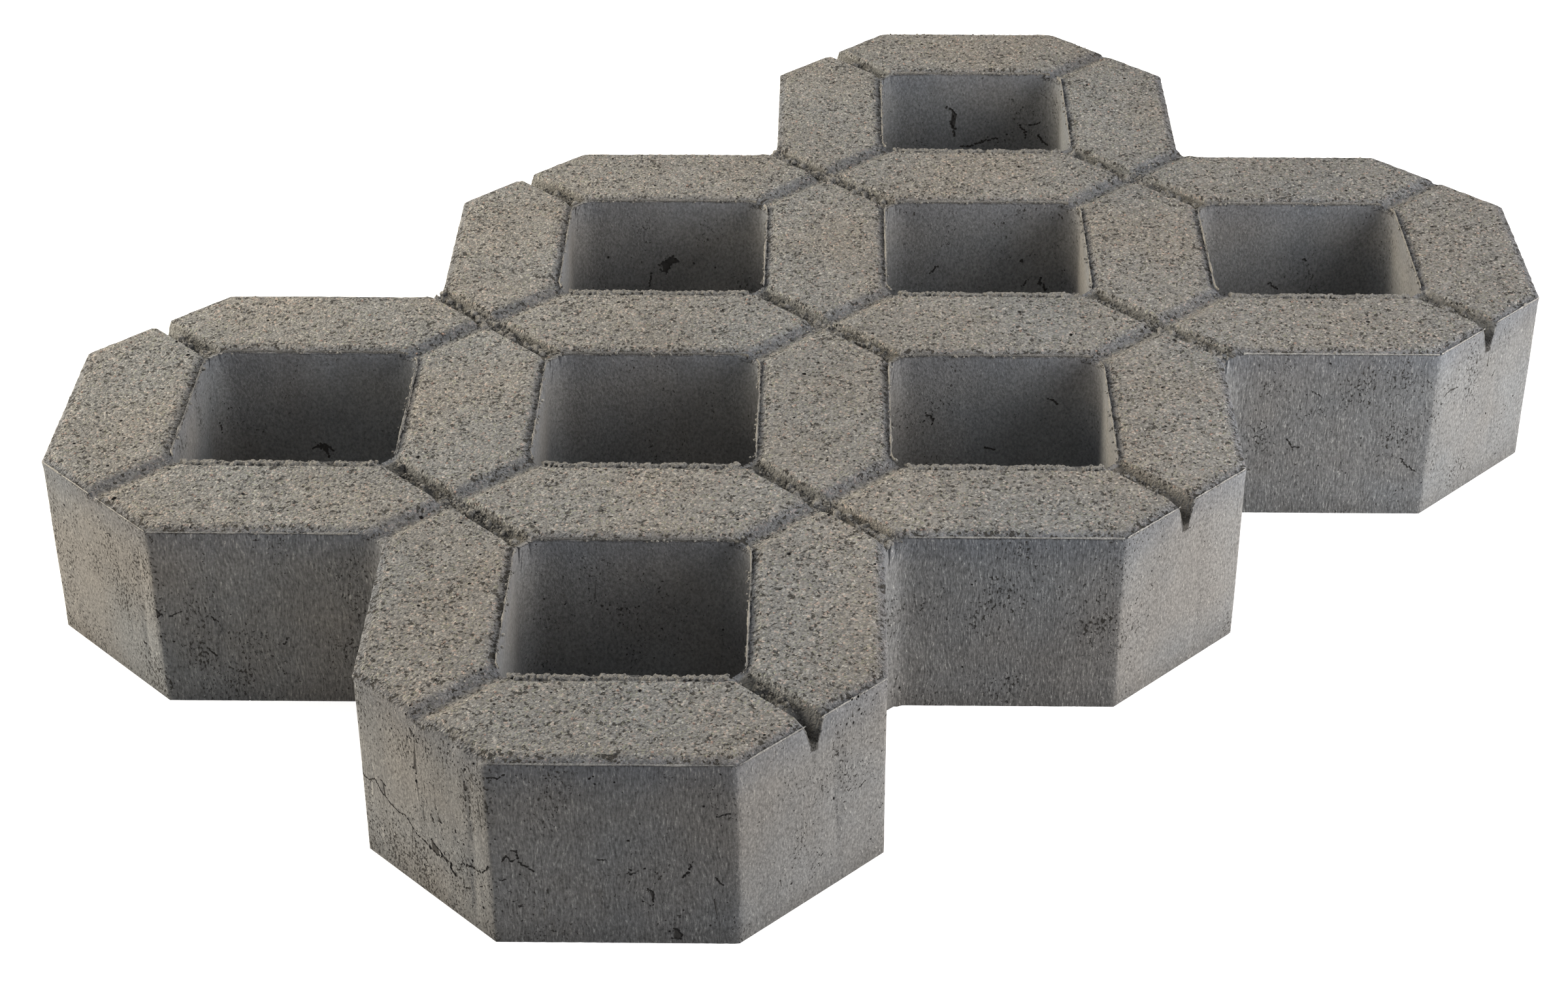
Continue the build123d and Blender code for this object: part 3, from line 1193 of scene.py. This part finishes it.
def makeRimFin(lines, name, radius, stretch, breaks, material):
    piece = newPiece(name, lines.data.copy())
    places, normals = vertexArrays(piece)
    stepX, stepY = awayFromWalls(places[:, 0], places[:, 1], name == "holeFin")
    places[:, 0] += stepX * rims["bedded"]
    places[:, 1] += stepY * rims["bedded"]
    movePoints(piece, places)
    activate(piece)
    bpy.ops.object.convert(target="CURVE")
    piece = bpy.context.object
    piece.data.bevel_depth = radius
    piece.data.bevel_resolution = 0
    bpy.ops.object.convert(target="MESH")
    piece = bpy.context.object
    places, normals = vertexArrays(piece)
    foot = slabHeight - plan["rimDrop"] - radius - rims["bedded"]
    places[:, 2] = foot + (places[:, 2] - foot) * stretch
    movePoints(piece, places)
    roughen(piece, name + "Lumps", 0.0022, radius * 1.6)
    roughen(piece, name + "Breaks", 0.0110, -radius * breaks, middle=0.4)
    applyAll(piece)
    finishPiece(piece, material)


holeLines = topEdgeLines("holeLines", True)
outerLines = topEdgeLines("outerLines", False)
makeRimFin(holeLines, "holeFin", rims["holeFin"], rims["holeStretch"], 3.6, holeFinesMaterial)
makeRimFin(outerLines, "outerFin", rims["outerFin"], rims["outerStretch"], 2.8, finesMaterial)


def makeFringe():
    # the thick crumbly burr along the near side of every hole
    chance = np.random.default_rng(12)
    places, normals = vertexArrays(holeLines)
    near = behindCell(places[:, 0], places[:, 1]) < -plan["holeHalf"] + 0.0012
    centres = []
    sizes = []
    for place in places[near]:
        tall = 0.0023 + 0.0022 * mathNoise(Vector(place) * 170) + 0.0010 * mathNoise(Vector(place) * 520)
        for turn in range(rims["burrBeads"]):
            size = chance.uniform(*rims["fringeRadius"])
            highest = max(-0.0004, min(tall, rims["burrTop"]) - size)
            lift = highest if turn < 3 else chance.uniform(-0.0006, highest)
            along = chance.normal(0, 0.0006)
            x, y = latticeTurn(along, -chance.uniform(-0.0003, 0.0034 if turn > 4 else 0.0019))
            centres.append((place[0] + x, place[1] + y, place[2] + lift))
            sizes.append(size)
    piece = stoneMesh("nearFringe", centres, sizes, 13, 0.7)
    oneSkin(piece, rims["fringeVoxel"], 0.0005, 0.0010, 0.5)
    finishPiece(piece, burrMaterial)


def makeRimCrumbs():
    chance = np.random.default_rng(22)
    centres = []
    sizes = []
    for lines, least in ((holeLines, 0.08), (outerLines, 0.62)):
        places, normals = vertexArrays(lines)
        for place in places:
            if mathNoise(Vector(place) * 140) + chance.uniform(-0.35, 0.35) < least:
                continue
            inward = Vector((*chance.normal(0, 0.0005, 2), chance.uniform(-0.0002, 0.0009)))
            centres.append(tuple(Vector(place) + inward))
            sizes.append(chance.uniform(*rims["crumbRadius"]))
    piece = stoneMesh("rimCrumbs", centres, sizes, 23, 0.6, tones=(0, 0.6))
    finishPiece(piece, grainMaterial)


makeFringe()
makeRimCrumbs()
bpy.data.objects.remove(holeLines)
bpy.data.objects.remove(outerLines)


# Sand on the top, and crumbs in the deep grooves

sand = {
    "grains": 8600, "radius": (0.00030, 0.00075),
    "lumps": 620, "lumpRadius": (0.0008, 0.0021), "lumpVoxel": 0.00048,
    "crumbs": 4200, "crumbRadius": (0.0003, 0.0008),
}


def inGrooves(middles, facing):
    # mostly the floor, and nothing close to the notches in the outer walls
    x, y, z = middles.T
    hole, outline = wallGaps(x, y)
    inside = (lineGap(x, cellStep / 2) < plan["deepHalf"]) & (np.abs(x) < lastDeep)
    low = smoothStep(0.0012, 0.0040, slabHeight - z) * (z > slabHeight - plan["deepDepth"])
    fromWall = np.maximum(smoothStep(0.004, 0.012, outline), endsAtCorner(x) * 1.5)
    return inside * low * (facing[:, 2] > 0.4) * fromWall * (0.2 + smoothStep(0.002, 0.008, hole))


def mostlySmall(chance, limits, count):
    low, high = limits
    return low + (high - low) * chance.uniform(0, 1, count) ** 2


def makeSand():
    chance = np.random.default_rng(14)
    places, facing = surfaceSample(paverBlock, sand["grains"], 15, onLands)
    sizes = chance.uniform(*sand["radius"], len(places))
    piece = stoneMesh("landGrains", places + facing * sizes[:, None] * 0.1, sizes, 16, 0.65)
    finishPiece(piece, grainMaterial)
    places, facing = surfaceSample(paverBlock, sand["lumps"], 17, inGrooves)
    sizes = mostlySmall(chance, sand["lumpRadius"], len(places))
    places[:, 2] += sizes * 0.15
    piece = stoneMesh("grooveLumps", places, sizes, 18, 0.6, 2)
    oneSkin(piece, sand["lumpVoxel"], 0.0011, 0.0015, 0.6)
    finishPiece(piece, lumpMaterial)
    places, facing = surfaceSample(paverBlock, sand["crumbs"], 19, inGrooves)
    sizes = mostlySmall(chance, sand["crumbRadius"], len(places))
    places += facing * sizes[:, None] * 0.5
    piece = stoneMesh("grooveCrumbs", places, sizes, 20, 0.6, tones=(0, 0.87))
    finishPiece(piece, gritMaterial)


makeSand()
